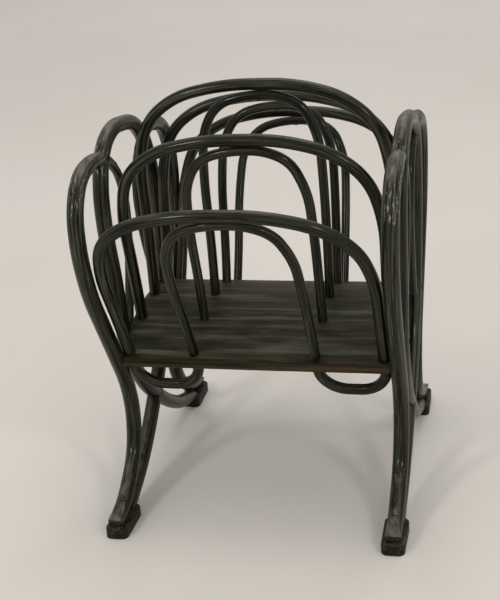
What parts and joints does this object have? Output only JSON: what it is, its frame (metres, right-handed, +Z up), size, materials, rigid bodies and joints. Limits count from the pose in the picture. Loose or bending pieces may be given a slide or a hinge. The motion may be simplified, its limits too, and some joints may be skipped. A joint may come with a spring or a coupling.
{
  "type": "magazine rack",
  "caption": "Free-standing bentwood rack: arched dividers fan up from a curved board held between two looped end frames on splayed shoes.",
  "frame": {"origin": "on the floor, midway between the four shoes", "axes": "+X along the board from the left end frame to the right one, +Y from the front divider to the rear one, +Z up"},
  "size_m": [0.4152, 0.5325, 0.5795],
  "materials": {
    "frame_wood": "steam-bent beech rod, stained black and lacquered, rubbed to brown along worn edges",
    "arch_wood": "steam-bent beech rod, stained black, greenish grey where the lacquer is thin",
    "board_wood": "black-stained board with streaky grain, brown on worn edges",
    "shoe_wood": "black-stained beech, dusty and scuffed",
    "screw_steel": "darkened steel"
  },
  "bodies": {
    "root": {"arch_screws": "screw_steel", "board": "board_wood", "board_screws": "screw_steel", "crossing_screws": "screw_steel", "front_cross_rod_left": "frame_wood", "front_cross_rod_right": "frame_wood", "front_leg_rod_left": "frame_wood", "front_leg_rod_right": "frame_wood", "front_shoe_left": "shoe_wood", "front_shoe_right": "shoe_wood", "inner_arch_1": "arch_wood", "inner_arch_2": "arch_wood", "inner_arch_3": "arch_wood", "inner_arch_4": "arch_wood", "inner_arch_5": "arch_wood", "loop_screws": "screw_steel", "lower_bow_left_1": "arch_wood", "lower_bow_left_2": "arch_wood", "lower_bow_left_3": "arch_wood", "lower_bow_left_4": "arch_wood", "lower_bow_left_5": "arch_wood", "lower_bow_right_1": "arch_wood", "lower_bow_right_2": "arch_wood", "lower_bow_right_3": "arch_wood", "lower_bow_right_4": "arch_wood", "lower_bow_right_5": "arch_wood", "outer_arch_1": "arch_wood", "outer_arch_2": "arch_wood", "outer_arch_3": "arch_wood", "outer_arch_4": "arch_wood", "outer_arch_5": "arch_wood", "rear_cross_rod_left": "frame_wood", "rear_cross_rod_right": "frame_wood", "rear_leg_rod_left": "frame_wood", "rear_leg_rod_right": "frame_wood", "rear_shoe_left": "shoe_wood", "rear_shoe_right": "shoe_wood", "shoe_screws": "screw_steel"}
  },
  "joints": []
}
